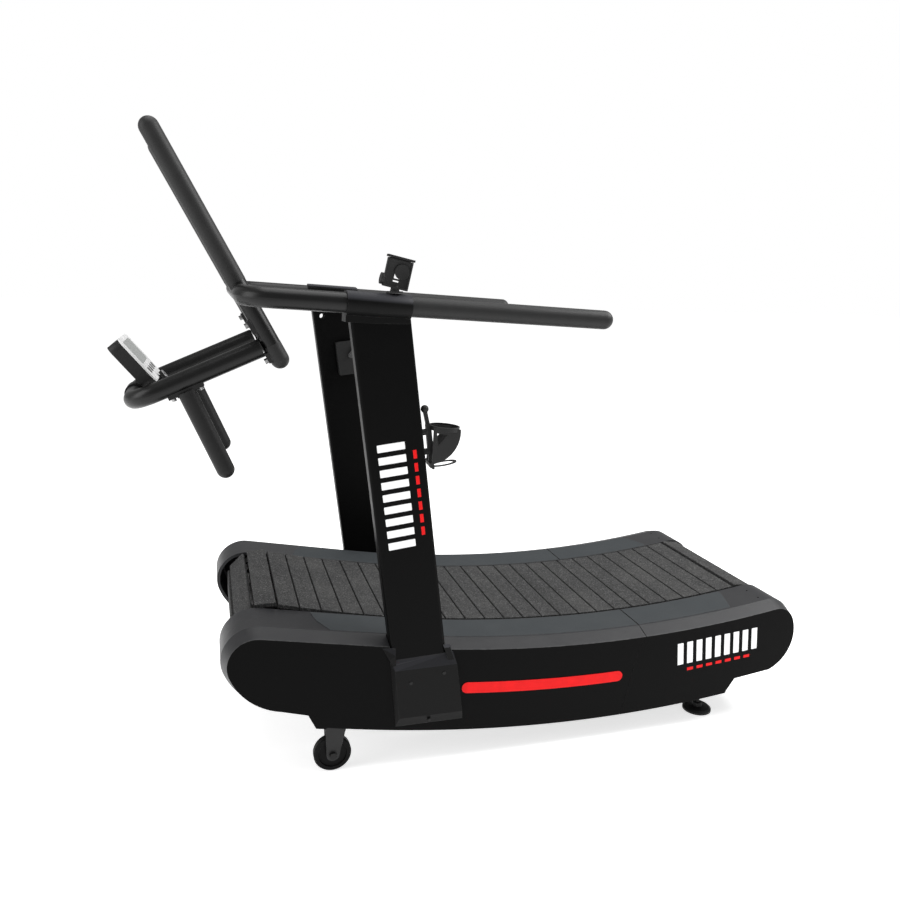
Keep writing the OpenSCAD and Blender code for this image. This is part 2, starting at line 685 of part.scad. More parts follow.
module phone_holder_jaw()
  color([0.08, 0.08, 0.08]) holder_frame() {
    translate([-tray_w / 2 - 2, -tray_t / 2 - 1.5, tray_h - 8]) cube([tray_w + 4, tray_t + 3, 5]);
    translate([-tray_w / 2 + 6, 0, 40]) cube([tray_w - 12, 4, tray_h - 44]);
  }
// bottle cage: a spine with a ball-ended tongue, a top ring, two curved side arms and a low toe loop
cage_y = -363;
cage_ring = [-168, 925];
cage_ring_r = 39;
module cage_frame() translate([0, cage_y, 0]) children();
module cage_arm()
  rotate([90, 0, 0]) linear_extrude(3.4, center = true) difference() {
    polygon(concat([[-202, 930]], arc([-214, 918], 82, 4, -62, 12), [[-205, 838]]));
    polygon([[-194, 916], [-166, 911], [-190, 884]]);
  }
module bottle_cage()
  color([0.08, 0.08, 0.08]) cage_frame() {
    slab(-6, 6) link([-211, 932], [-199, 828], 6);
    for (z = [862, 912]) translate([post_foot_x, 0, 0]) rotate([0, -lean, 0])
      translate([post_w / 2 + 0.05, 0, z]) rotate([0, 90, 0]) cylinder(r = 8, h = 14);
    slab(-4, 4) link([-219, 966], [-211, 932], 5);
    translate([-220, 0, 973]) sphere(10);
    translate([cage_ring[0], 0, cage_ring[1]]) rotate([0, 4, 0]) difference() {
      cylinder(r = cage_ring_r, h = 11, center = true);
      cylinder(r = cage_ring_r - 4, h = 20, center = true);
    }
    for (y = [-26, 26]) translate([0, y, 0]) cage_arm();
    slab(-28, 28) link([-205, 838], [-201, 828], 3.5);
    translate([-168, 0, 833]) rotate([0, -9, 0]) difference() {
      scale([1.3, 0.8, 1]) cylinder(r = 27, h = 3, center = true);
      scale([1.3, 0.8, 1]) cylinder(r = 21, h = 9, center = true);
    }
  }
module shifter_housing()
  color([0.12, 0.12, 0.12]) difference() {
    slab(316, 339.8) translate([-300, 1027]) rotate(7.45) box_round(62, 106, 5);
    rod([-290, 1036], 5.05, 300, 330);
  }
module shifter_lever()
  color([0.3, 0.3, 0.3]) {
    rod([-290, 1036], 5, 304, 328);
    slab(305, 313) link([-290, 1036], [-262, 1072], 8);
    slab(298, 314) translate([-258, 1077]) circle(11);
  }

// ---- running gear ----
module wheel_brackets()
  color([0.12, 0.12, 0.12]) both() {
    for (y = [327.6, 359]) slab(y, y + 3.4) difference() {
      union() {
        translate(wheel_at) circle(17);
        polygon([wheel_at + [-17, 0], wheel_at + [17, 0], [-408, 139], [-466, 139]]);
      }
      translate(wheel_at) circle(6.05);
    }
    slab(290, 362.4) polygon([[-466, 134], [-408, 134], [-408, 139], [-466, 139]]);
    slab(290, 330) polygon([[-460, 139], [-414, 139], [-414, 140.3], [-460, 149.3]]);
  }
module wheel()
  color([0.06, 0.06, 0.06]) translate([wheel_at[0], wheel_y, wheel_at[1]]) rotate([90, 0, 0])
    rotate_extrude($fn = 96) polygon([[6.06, -13], [14, -13], [14, -8], [36, -8], [38, -12],
      [wheel_r - 3, -12],
      [wheel_r, -8], [wheel_r, 8], [wheel_r - 3, 12], [38, 12], [36, 8], [14, 8], [14, 13], [6.06, 13]]);
module wheel_right() wheel();
module wheel_left() mirror([0, 1, 0]) wheel();
module foot()
  translate([foot_at[0], foot_at[1], 0])
    rotate_extrude($fn = 96) polygon([[0, 0], [foot_r, 0], [foot_r, 6], [foot_r - 6, 11], [16, 14], [14,
      24], [6.5, 24],
      [6.5, 128], [0, 128]]);
module foot_right() color([0.08, 0.08, 0.08]) foot();
module foot_left() mirror([0, 1, 0]) foot_right();

// ---- resistance ----
module fan_rotor()
  color([0.4, 0.4, 0.42]) difference() {
    union() {
      rod(fan_at, 14, 262, 330);
      rod(fan_at, 22, 263, 277);
      rod(fan_at, fan_r, 283, 286);
      for (k = [0:11]) slab(285.5, 330) translate(fan_at) rotate(30 * k) translate([12, -1.5])
        square([fan_r - 14, 3]);
    }
    rod(fan_at, 8.05, 250, 340);
  }
module drive_belt() {
  v = fan_at - drum_front;
  gap = norm(v);
  lift = asin((55 - 22) / gap);
  base = atan2(v[1], v[0]);
  color([0.08, 0.08, 0.08]) slab(265, 275) difference() {
    belt_outline(58, 25, base, lift);
    belt_outline(55.4, 22.4, base, lift);
  }
}
module belt_outline(r0, r1, base, lift)
  polygon(concat(arc(drum_front, r0, base + 90 - lift, base + 270 + lift, 36),
    arc(fan_at, r1, base - 90 + lift, base + 90 - lift, 24)));
module magnet_yoke()
  color("silver") difference() {
    union() {
      slab(278, 281.5) link(yoke_at, fan_at + 66 * [cos(46), sin(46)], 9);
      rod(yoke_at, 9, 278, 282.5);
    }
    rod(yoke_at, 4.05, 200, 330);
  }
module fasteners()
  color("gainsboro") {
    both() {
      rod(wheel_at, 6, 322, 366);
      slab(365.8, 370) translate(wheel_at) circle(10, $fn = 6);
      rod(fan_at, 8, 238, 334);
      rod(yoke_at, 4, 238, 284);
      for (y = cap_screw_y) translate([cap_screw_x, y, 341]) cylinder(r = 5, h = 5);
    }
    both() translate([arm_foot[0], arm_y, arm_foot[1]]) rotate([0, arm_tilt, 0])
      for (z = [12, 112]) translate([-tube_r - 12, 0, z]) rotate([0, 90, 0]) cylinder(r = 7, h = 8, $fn = 6);
    both() hoop_frame() for (x = [-36, 36]) translate([handle_at + x, arm_y, -tube_r - 14])
      cylinder(r = 6, h = 8);
    both() for (p = boot_screws) rod(p, 4.5, 391, boot_y1 + 1.5);
  }

side_frame_left();
side_frame_right();
base_rail_left();
base_rail_right();
cross_members();
post_outriggers();
bearing_blocks();
track_rollers();
carrier_belts();
slat_belt();
side_panel_front_left();
side_panel_front_right();
side_panel_rear_left();
side_panel_rear_right();
deck_cap_front_left();
deck_cap_front_right();
deck_cap_rear_left();
deck_cap_rear_right();
foot_pads();
accent_stripes();
post_left();
post_right();
post_boot_left();
post_boot_right();
post_cap_left();
post_cap_right();
handrail();
rail_grips();
push_arms();
arm_sleeves();
console_hoop();
hoop_brackets();
sled_handles();
console_bracket();
console_pivot_knob();
console_housing();
console_face();
console_screen();
console_key_1();
console_key_2();
console_key_3();
console_key_4();
console_cable();
phone_holder_base();
phone_holder_back();
phone_holder_jaw();
bottle_cage();
shifter_housing();
shifter_lever();
wheel_brackets();
wheel_left();
wheel_right();
foot_left();
foot_right();
front_drum();
rear_drum();
fan_rotor();
drive_belt();
magnet_yoke();
fasteners();
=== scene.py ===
import json
import math

import bmesh
import bpy
from mathutils import Matrix, Vector


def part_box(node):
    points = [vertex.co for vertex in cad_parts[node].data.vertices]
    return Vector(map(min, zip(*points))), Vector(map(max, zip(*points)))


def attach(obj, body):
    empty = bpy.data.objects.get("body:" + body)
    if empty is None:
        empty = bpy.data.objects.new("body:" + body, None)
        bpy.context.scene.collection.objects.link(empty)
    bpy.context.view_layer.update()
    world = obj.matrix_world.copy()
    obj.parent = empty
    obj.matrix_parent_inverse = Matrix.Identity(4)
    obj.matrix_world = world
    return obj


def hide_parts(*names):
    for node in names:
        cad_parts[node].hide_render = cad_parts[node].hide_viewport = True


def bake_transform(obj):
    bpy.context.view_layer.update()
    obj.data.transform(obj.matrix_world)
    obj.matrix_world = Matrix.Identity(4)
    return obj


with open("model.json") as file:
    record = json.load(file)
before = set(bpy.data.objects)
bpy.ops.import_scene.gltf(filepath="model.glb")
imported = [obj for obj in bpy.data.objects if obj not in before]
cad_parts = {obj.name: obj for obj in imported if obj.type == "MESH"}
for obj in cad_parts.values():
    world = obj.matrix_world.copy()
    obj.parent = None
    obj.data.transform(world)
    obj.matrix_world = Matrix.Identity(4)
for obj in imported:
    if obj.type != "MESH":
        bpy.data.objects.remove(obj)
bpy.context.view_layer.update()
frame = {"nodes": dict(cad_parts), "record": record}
NODES = frame["nodes"]

# ---- driving values, in metres and radians ----
PRINT_T = 0.0003                     # how far the printed bars stand proud
UPRIGHT_LEAN = math.radians(7.45)    # the uprights lean towards the console
COVER_SLOPE = math.radians(5.2)      # the rear covers' marks rise to the rear
TRAY_LEAN = math.radians(12)         # the phone tray leans back
FACE_TILT = math.radians(39.8)       # the console's face, from upright
SMOOTH_ANGLE = math.radians(35)
FILL = 0.4                           # strength of the even light from all round
FLOOR_GLOW = 0.68                    # keeps the floor as pale as the backdrop

# ---- camera ----
AZIMUTH, ELEVATION, ROLL = (math.radians(a) for a in (-16.9, 12.26, 1.88))
CAMERA_AT = Vector((-0.7311, -2.2726, 1.3004))
LENS_MM = 32.27


def add_camera():
    back = Vector((math.sin(AZIMUTH) * math.cos(ELEVATION), -math.cos(AZIMUTH) * math.cos(ELEVATION),
                   math.sin(ELEVATION)))
    level = Vector((math.cos(AZIMUTH), math.sin(AZIMUTH), 0))
    rise = back.cross(level)
    right = level * math.cos(ROLL) + rise * math.sin(ROLL)
    up = back.cross(right)
    data = bpy.data.cameras.new("camera")
    data.lens = LENS_MM
    camera = bpy.data.objects.new("camera", data)
    turn = Matrix((right, up, back)).transposed().to_4x4()
    camera.matrix_world = Matrix.Translation(CAMERA_AT) @ turn
    bpy.context.scene.collection.objects.link(camera)
    bpy.context.scene.camera = camera


# ---- shader groups ----
def new_group(name, inputs, outputs):
    """A shader node group with float inputs and named outputs; returns it with its two end nodes."""
    group = bpy.data.node_groups.new(name, "ShaderNodeTree")
    for label, default in inputs:
        socket = group.interface.new_socket(label, in_out="INPUT", socket_type="NodeSocketFloat")
        socket.default_value = default
    for label, kind in outputs:
        group.interface.new_socket(label, in_out="OUTPUT", socket_type=kind)
    return group, group.nodes.new("NodeGroupInput"), group.nodes.new("NodeGroupOutput")


def node(tree, kind, **settings):
    made = tree.nodes.new(kind)
    for key, value in settings.items():
        if key in made.inputs:
            made.inputs[key].default_value = value
        else:
            setattr(made, key, value)
    return made


def noise_at(tree, source, scale, detail=3.0, rough=0.55):
    made = node(tree, "ShaderNodeTexNoise", Detail=detail, Roughness=rough)
    tree.links.new(source, made.inputs["Vector"])
    if isinstance(scale, (int, float)):
        made.inputs["Scale"].default_value = scale
    else:
        tree.links.new(scale, made.inputs["Scale"])
    return made.outputs["Fac"]


def spread(tree, value, low, high, to_low=0.0, to_high=1.0):
    made = node(tree, "ShaderNodeMapRange")
    made.inputs["From Min"].default_value = low
    made.inputs["From Max"].default_value = high
    made.inputs["To Min"].default_value = to_low
    made.inputs["To Max"].default_value = to_high
    tree.links.new(value, made.inputs["Value"])
    return made.outputs["Result"]


def build_edge_wear():
    """Mask that is 1 on rubbed edges, broken up by noise: a surface that turns nearby is worn."""
    group, given, out = new_group("edge_wear", [("Width", 0.0025), ("Scale", 60.0)],
                                  [("Mask", "NodeSocketFloat")])
    links = group.links
    place = node(group, "ShaderNodeTexCoord").outputs["Object"]
    rounded = node(group, "ShaderNodeBevel", samples=4)
    links.new(given.outputs["Width"], rounded.inputs["Radius"])
    turn = node(group, "ShaderNodeVectorMath", operation="DOT_PRODUCT")
    links.new(rounded.outputs["Normal"], turn.inputs[0])
    links.new(node(group, "ShaderNodeNewGeometry").outputs["Normal"], turn.inputs[1])
    edge = spread(group, turn.outputs["Value"], 0.985, 0.86)
    rub = spread(group, noise_at(group, place, given.outputs["Scale"], detail=5.0), 0.38, 0.62)
    both = node(group, "ShaderNodeMath", operation="MULTIPLY")
    links.new(edge, both.inputs[0])
    links.new(rub, both.inputs[1])
    links.new(both.outputs[0], out.inputs["Mask"])
    return group


def build_dust():
    """Mask of fine dust that settles on faces that look up."""
    group, given, out = new_group("dust", [("Scale", 9.0)], [("Mask", "NodeSocketFloat")])
    links = group.links
    place = node(group, "ShaderNodeTexCoord").outputs["Object"]
    normal = node(group, "ShaderNodeSeparateXYZ")
    links.new(node(group, "ShaderNodeNewGeometry").outputs["Normal"], normal.inputs[0])
    cloud = noise_at(group, place, given.outputs["Scale"], detail=6.0, rough=0.65)
    lying = spread(group, normal.outputs["Z"], 0.2, 1.0)
    both = node(group, "ShaderNodeMath", operation="MULTIPLY")
    links.new(spread(group, cloud, 0.42, 0.75), both.inputs[0])
    links.new(lying, both.inputs[1])
    links.new(both.outputs[0], out.inputs["Mask"])
    return group


def build_grain():
    """Height of a fine moulded or sprayed grain."""
    group, given, out = new_group("grain", [("Scale", 900.0), ("Broad", 40.0)],
                                  [("Height", "NodeSocketFloat"), ("Cloud", "NodeSocketFloat")])
    place = node(group, "ShaderNodeTexCoord").outputs["Object"]
    fine = noise_at(group, place, given.outputs["Scale"], detail=2.0)
    broad = noise_at(group, place, given.outputs["Broad"], detail=4.0)
    group.links.new(fine, out.inputs["Height"])
    group.links.new(broad, out.inputs["Cloud"])
    return group


def build_speckle():
    """Crumb rubber: pale and dark flecks, and the height of the crumbs."""
    group, given, out = new_group("speckle", [("Crumb", 420.0)],
                                  [("Pale", "NodeSocketFloat"), ("Dark", "NodeSocketFloat"),
                                   ("Height", "NodeSocketFloat")])
    links = group.links
    place = node(group, "ShaderNodeTexCoord").outputs["Object"]
    crumb = node(group, "ShaderNodeTexVoronoi", feature="F1")
    links.new(place, crumb.inputs["Vector"])
    links.new(given.outputs["Crumb"], crumb.inputs["Scale"])
    pick = node(group, "ShaderNodeSeparateColor")
    links.new(crumb.outputs["Color"], pick.inputs[0])
    links.new(spread(group, pick.outputs[0], 0.72, 0.95), out.inputs["Pale"])
    links.new(spread(group, pick.outputs[1], 0.55, 0.9), out.inputs["Dark"])
    links.new(crumb.outputs["Distance"], out.inputs["Height"])
    return group


EDGE_WEAR = build_edge_wear()
DUST = build_dust()
GRAIN = build_grain()
SPECKLE = build_speckle()


# ---- materials ----
def grey(value, tint=(1.0, 1.0, 1.0)):
    return (value * tint[0], value * tint[1], value * tint[2], 1.0)


def place_group(tree, group, **values):
    made = tree.nodes.new("ShaderNodeGroup")
    made.node_tree = group
    for key, value in values.items():
        made.inputs[key].default_value = value
    return made


def blend_colour(tree, factor, first, second):
    made = node(tree, "ShaderNodeMix", data_type="RGBA")
    tree.links.new(factor, made.inputs["Factor"])
    for socket, value in ((made.inputs[6], first), (made.inputs[7], second)):
        if isinstance(value, tuple):
            socket.default_value = value
        else:
            tree.links.new(value, socket)
    return made.outputs[2]


def bump(tree, shader, height, strength, distance):
    made = node(tree, "ShaderNodeBump", Strength=strength, Distance=distance)
    tree.links.new(height, made.inputs["Height"])
    tree.links.new(made.outputs["Normal"], shader.inputs["Normal"])


def new_material(name):
    material = bpy.data.materials.new(name)
    material.use_nodes = True
    tree = material.node_tree
    return material, tree, tree.nodes["Principled BSDF"]


DUST_COLOUR = (0.2, 0.195, 0.185, 1.0)
CLOUD = (0.3, 0.7)    # the part of a noise that a cloudy colour or roughness spreads over


def coated(name, base, worn, rough=(0.38, 0.5), grain=900.0, strength=0.12, dust=0.03, gloss=0.25,
           painted_top_highlight=None):
    """Paint or moulded plastic: cloudy colour, grain, rubbed edges and a little dust.
    Faces that look up can take a lighter colour, a painted highlight standing in for light from above."""
    material, tree, shader = new_material(name)
    finish = place_group(tree, GRAIN, Scale=grain)
    wear = place_group(tree, EDGE_WEAR)
    dirt = place_group(tree, DUST)
    cloud = spread(tree, finish.outputs["Cloud"], *CLOUD)
    lighter = tuple(min(1.0, c * 1.15) for c in base[:3]) + (1.0,)
    colour = blend_colour(tree, cloud, base, lighter)
    # painted highlight: faces that look up are blended to a lighter colour, as if lit from above
    if painted_top_highlight:
        slope = node(tree, "ShaderNodeSeparateXYZ")
        tree.links.new(node(tree, "ShaderNodeNewGeometry").outputs["Normal"], slope.inputs[0])
        colour = blend_colour(tree, spread(tree, slope.outputs["Z"], 0.2, 0.45), colour, painted_top_highlight)
    colour = blend_colour(tree, wear.outputs["Mask"], colour, worn)
    thin = node(tree, "ShaderNodeMath", operation="MULTIPLY")
    tree.links.new(dirt.outputs["Mask"], thin.inputs[0])
    thin.inputs[1].default_value = dust
    colour = blend_colour(tree, thin.outputs[0], colour, DUST_COLOUR)
    tree.links.new(colour, shader.inputs["Base Color"])
    tree.links.new(spread(tree, finish.outputs["Cloud"], *CLOUD, *rough), shader.inputs["Roughness"])
    shader.inputs["Specular IOR Level"].default_value = gloss
    bump(tree, shader, finish.outputs["Height"], strength, 0.0006)
    return material


def crumb_rubber(name, base, pale, dark):
    """Pressed rubber crumb: two tones of fleck, small bumps, rubbed edges, dust on faces that look up."""
    material, tree, shader = new_material(name)
    crumbs = place_group(tree, SPECKLE, Crumb=460.0)
    dirt = place_group(tree, DUST, Scale=5.0)
    wear = place_group(tree, EDGE_WEAR, Width=0.0015)
    colour = blend_colour(tree, crumbs.outputs["Pale"], base, pale)
    colour = blend_colour(tree, crumbs.outputs["Dark"], colour, dark)
    colour = blend_colour(tree, spread(tree, dirt.outputs["Mask"], 0.0, 1.0, 0.0, 0.2), colour,
                          (0.13, 0.127, 0.12, 1.0))
    colour = blend_colour(tree, spread(tree, wear.outputs["Mask"], 0.0, 1.0, 0.0, 0.5), colour, pale)
    tree.links.new(colour, shader.inputs["Base Color"])
    shader.inputs["Roughness"].default_value = 0.86
    shader.inputs["Specular IOR Level"].default_value = 0.2
    bump(tree, shader, crumbs.outputs["Height"], 0.5, 0.0008)
    return material


def bare_metal(name, base, rough=(0.22, 0.4), grain=260.0):
    """Cast, turned or plated metal with a cloudy shine."""
    material, tree, shader = new_material(name)
    finish = place_group(tree, GRAIN, Scale=grain, Broad=90.0)
    dull = tuple(c * 0.7 for c in base[:3]) + (1.0,)
    tree.links.new(blend_colour(tree, finish.outputs["Cloud"], dull, base), shader.inputs["Base Color"])
    tree.links.new(spread(tree, finish.outputs["Cloud"], *CLOUD, *rough), shader.inputs["Roughness"])
    shader.inputs["Metallic"].default_value = 1.0
    bump(tree, shader, finish.outputs["Height"], 0.08, 0.0004)
    return material


def fastener_metal(name):
    """Bright zinc on the rail and arm bolts, black oxide on the screws of the lower body."""
    material, tree, shader = new_material(name)
    finish = place_group(tree, GRAIN, Scale=260.0, Broad=90.0)
    place = node(tree, "ShaderNodeSeparateXYZ")
    tree.links.new(node(tree, "ShaderNodeTexCoord").outputs["Object"], place.inputs[0])
    high = spread(tree, place.outputs["Z"], 0.58, 0.6)
    zinc = blend_colour(tree, finish.outputs["Cloud"], grey(0.3), grey(0.42))
    tree.links.new(blend_colour(tree, high, grey(0.006), zinc), shader.inputs["Base Color"])
    tree.links.new(spread(tree, finish.outputs["Cloud"], *CLOUD, 0.3, 0.42), shader.inputs["Roughness"])
    tree.links.new(high, shader.inputs["Metallic"])
    shader.inputs["Specular IOR Level"].default_value = 0.2
    bump(tree, shader, finish.outputs["Height"], 0.08, 0.0004)
    return material


def foam(name, base):
    """Closed-cell foam: a dense skin with fine pores and a soft sheen."""
    material, tree, shader = new_material(name)
    pores = place_group(tree, SPECKLE, Crumb=700.0)
    finish = place_group(tree, GRAIN, Scale=1500.0, Broad=30.0)
    lighter = tuple(c * 1.5 for c in base[:3]) + (1.0,)
    colour = blend_colour(tree, finish.outputs["Cloud"], base, lighter)
    tree.links.new(colour, shader.inputs["Base Color"])
    shader.inputs["Roughness"].default_value = 0.5
    shader.inputs["Specular IOR Level"].default_value = 0.25
    shader.inputs["Sheen Weight"].default_value = 0.04
    shader.inputs["Sheen Roughness"].default_value = 0.4
    bump(tree, shader, pores.outputs["Height"], 0.22, 0.0004)
    return material


def display_glass(name):
    """A switched-off pale display under a glossy window."""
    material, tree, shader = new_material(name)
    finish = place_group(tree, GRAIN, Scale=300.0, Broad=12.0)
    tint = blend_colour(tree, finish.outputs["Cloud"], (0.27, 0.29, 0.275, 1.0), (0.33, 0.35, 0.33, 1.0))
    tree.links.new(tint, shader.inputs["Base Color"])
    shader.inputs["Roughness"].default_value = 0.08
    shader.inputs["Coat Weight"].default_value = 0.6
    shader.inputs["Coat Roughness"].default_value = 0.05
    return material


WORN = (0.07, 0.07, 0.074, 1.0)
FINISHES = {
    # running deck
    "frame_steel": coated("powder_coated_frame", grey(0.012), WORN, rough=(0.4, 0.55)),
    "bearing_iron": bare_metal("cast_bearing_block", grey(0.16), rough=(0.5, 0.65)),
    "roller_steel": bare_metal("turned_steel", grey(0.55)),
    "drum_aluminium": bare_metal("cast_aluminium_drum", grey(0.5)),
    "magnet_steel": bare_metal("zinc_yoke", grey(0.5)),
    "carrier_rubber": coated("belt_rubber", grey(0.014), grey(0.03), rough=(0.6, 0.75), strength=0.2),
    "slat_rubber": crumb_rubber("crumb_rubber_tread", grey(0.038), grey(0.11), grey(0.018)),
    "panel_black": coated("textured_black_panel", grey(0.0022), grey(0.014), rough=(0.42, 0.5),
                          grain=1300.0, gloss=0.045),
    "cap_grey": coated("moulded_grey_cap", grey(0.021, (0.98, 0.99, 1.06)), grey(0.055), rough=(0.4, 0.48),
                       grain=1100.0, strength=0.16, gloss=0.3),
    "pad_rubber": coated("foot_pad_rubber", grey(0.034, (0.88, 1.0, 1.08)), grey(0.06), rough=(0.62, 0.74),
                         grain=700.0, strength=0.3),
    "stripe_red": coated("red_reflective_stripe", (0.7, 0.008, 0.009, 1.0), (0.72, 0.03, 0.03, 1.0),
                         rough=(0.3, 0.36), dust=0.0, strength=0.03, gloss=0.1),
    # uprights, rail and arms
    "post_black": coated("satin_black_upright", grey(0.0022), grey(0.016), rough=(0.34, 0.42), grain=700.0,
                         strength=0.08, gloss=0.05),
    # the boot's upward faces get a painted highlight, a lighter grey standing in for light from above
    "boot_plastic": coated("moulded_black_boot", grey(0.0035), grey(0.03), rough=(0.36, 0.44), grain=1100.0,
                           gloss=0.09, painted_top_highlight=grey(0.034, (0.96, 0.97, 1.1))),
    "tube_black": coated("satin_black_tube", grey(0.004), grey(0.03), rough=(0.3, 0.36), grain=600.0,
                         strength=0.06, gloss=0.26),
    "foam_black": foam("foam_grip", grey(0.013)),
    "lever_grey": coated("grey_lever", grey(0.05), grey(0.12), rough=(0.4, 0.5)),
    # console
    "console_black": coated("console_black_shell", grey(0.011), grey(0.03), rough=(0.42, 0.52), grain=1400.0,
                            strength=0.2),
    "console_silver": coated("silver_console_face", grey(0.66), grey(0.72), rough=(0.28, 0.38), grain=900.0,
                             strength=0.04, dust=0.02, gloss=0.5),
    "screen_glass": display_glass("console_display"),
    "key_grey": coated("soft_touch_key", grey(0.12), grey(0.2), rough=(0.55, 0.65), grain=900.0),
    "cable_black": coated("cable_sheath", grey(0.008), grey(0.02), rough=(0.45, 0.55)),
    # wheels, feet and screws
    "wheel_rubber": coated("wheel_tread", grey(0.003), grey(0.02), rough=(0.42, 0.55), grain=500.0,
                           strength=0.15, gloss=0.08),
    "foot_rubber": coated("foot_rubber", grey(0.012), grey(0.03), rough=(0.5, 0.62), strength=0.2),
    "zinc": bare_metal("zinc_plated_steel", grey(0.6)),
}
# nodes whose finish differs from the others of their slot; the sled handles' darker foam is painted shade
OWN_FINISH_AND_PAINTED_SHADE = {
    # painted shade: a darker copy of the foam grip, for handles that sit low in shadow
    "sled_handles": foam("foam_lower_grip_painted_shade", grey(0.005)),
    "fasteners": fastener_metal("bolt_finish"),
}


def dress_cad():
    """Gives every CAD node its own finish or that of its slot; the sled handles get a darker foam as painted
    shade.
    """
    for part in frame["record"]["subparts"]:
        made = NODES[part["node"]]
        made.data.materials.clear()
        made.data.materials.append(OWN_FINISH_AND_PAINTED_SHADE.get(part["node"], FINISHES[part["material_slot"]]))


# width of the rounding on the corners that catch the light
ROUNDED = {"slat_belt": 0.0014, "post_boot_left": 0.002, "post_boot_right": 0.002, "post_cap_left": 0.002,
           "post_cap_right": 0.002, "console_housing": 0.003, "console_face": 0.002}


def soften(name, width):
    """Rounds a CAD node's sharp corners with live modifiers; its mesh stays as it is."""
    made = NODES[name]
    weld = made.modifiers.new("join_corners", "WELD")
    weld.merge_threshold = 0.00002
    edge = made.modifiers.new("soft_edges", "BEVEL")
    edge.width = width
    edge.segments = 2
    edge.limit_method = "ANGLE"
    edge.angle_limit = math.radians(38)
    edge.use_clamp_overlap = True
    edge.harden_normals = True


# ---- modelling helpers ----
def start(add, **settings):
    """Adds a primitive with nothing else selected."""
    bpy.ops.object.select_all(action="DESELECT")
    add(**settings)
    return bpy.context.active_object


def pick(piece):
    """Selects one piece alone and makes it the active one."""
    bpy.ops.object.select_all(action="DESELECT")
    piece.select_set(True)
    bpy.context.view_layer.objects.active = piece


def bake_place(piece):
    pick(piece)
    bpy.ops.object.transform_apply(location=True, rotation=True, scale=True)


def settle(piece, name, slot, body="frame"):
    """Bakes the piece's place into its mesh, names it and hangs it on its body, if it has only one."""
    bake_place(piece)
    piece.name = name
    piece.data.name = name
    piece.data.materials.clear()
    piece.data.materials.append(FINISHES[slot])
    if body:
        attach(piece, body)
    return piece


def select_corners(mesh_edit, test):
    """Selects only the corners that pass a test, and the edges and faces between them."""
    for vert in mesh_edit.verts:
        vert.select = test(vert.co)
    for edge in mesh_edit.edges:
        edge.select = all(v.select for v in edge.verts)
    for face in mesh_edit.faces:
        face.select = all(v.select for v in face.verts)


def select_faces(piece, test):
    """Opens a piece in edit mode with only the faces that pass a test selected."""
    bpy.ops.object.mode_set(mode="EDIT")
    bpy.ops.mesh.select_mode(type="FACE")
    bpy.ops.mesh.select_all(action="DESELECT")
    mesh_edit = bmesh.from_edit_mesh(piece.data)
    for face in mesh_edit.faces:
        face.select = test(face)
    mesh_edit.select_flush_mode()
    bmesh.update_edit_mesh(piece.data)


def round_edges(piece, width):
    edge = piece.modifiers.new("round_edges", "BEVEL")
    edge.width = width
    edge.segments = 2
    edge.limit_method = "ANGLE"
    edge.angle_limit = SMOOTH_ANGLE
    bpy.ops.object.modifier_apply(modifier="round_edges")


def model_block(size, at):
    block = start(bpy.ops.mesh.primitive_cube_add, size=1, location=at)
    block.scale = size
    bpy.ops.object.transform_apply(location=True, rotation=False, scale=True)
    return block


def model_disc(radius, depth, at, turn, rim, sink):
    """A round knob or plate with a dished end face."""
    disc = start(bpy.ops.mesh.primitive_cylinder_add, vertices=48, radius=radius, depth=depth, location=at)
    select_faces(disc, lambda face: face.normal.z > 0.9)
    bpy.ops.mesh.inset(thickness=rim, depth=-sink)
    bpy.ops.object.mode_set(mode="OBJECT")
    round_edges(disc, 0.0006)
    disc.rotation_euler = turn
    return disc


def cut_with(piece, cutter):
    """Cuts a block out of a piece and removes the block."""
    cut = piece.modifiers.new("cut", "BOOLEAN")
    cut.object = cutter
    cut.solver = "EXACT"
    bpy.context.view_layer.objects.active = piece
    bpy.ops.object.modifier_apply(modifier="cut")
    bpy.data.objects.remove(cutter)


def copy_to(source, place):
    made = source.copy()
    made.data = source.data.copy()
    made.matrix_world = place
    bpy.context.scene.collection.objects.link(made)
    return made


def join_all(pieces):
    bpy.ops.object.select_all(action="DESELECT")
    for piece in pieces:
        piece.select_set(True)
    bpy.context.view_layer.objects.active = pieces[0]
    bpy.ops.object.join()
    return bpy.context.active_object


# ---- printed marks ----
def model_slanted_bar(width, height, slant):
    """A thin bar with a leaning outline and soft corners, lying in the XZ plane and facing -Y."""
    bar = start(bpy.ops.mesh.primitive_plane_add, size=1, rotation=(math.pi / 2, 0, 0))
    bar.scale = (width, height, 1)
    bpy.ops.object.transform_apply(location=False, rotation=True, scale=True)
    bpy.ops.object.mode_set(mode="EDIT")
    mesh_edit = bmesh.from_edit_mesh(bar.data)
    select_corners(mesh_edit, lambda co: co.z > 0)
    bpy.ops.transform.translate(value=(slant, 0, 0))
    bpy.ops.mesh.select_all(action="SELECT")
    bpy.ops.mesh.bevel(offset=min(width, height) * 0.08, segments=3, affect="VERTICES")
    bpy.ops.mesh.select_all(action="SELECT")
    bpy.ops.mesh.extrude_region_move(TRANSFORM_OT_translate={"value": (0, -PRINT_T, 0)})
    bpy.ops.mesh.select_all(action="SELECT")
    bpy.ops.mesh.normals_make_consistent(inside=False)
    bpy.ops.object.mode_set(mode="OBJECT")
    return bar


def add_bar_row(name, slot, finish, centre, step, count, turn, size, slant, side):
    """A row of slanted bars on an outer face; side is -1 on the left and 1 on the right."""
    model = model_slanted_bar(size[0], size[1], slant)
    face_turn = Matrix.Rotation(0 if side < 0 else math.pi, 4, "Z")
    made = []
    for i in range(count):
        at = Vector(centre) + Vector(step) * (i - (count - 1) / 2)
        made.append(copy_to(model, Matrix.Translation(at) @ Matrix.Rotation(turn, 4, "Y") @ face_turn))
    bpy.data.objects.remove(model)
    row = settle(join_all(made), name, slot)
    row.data.materials[0] = finish
    return row


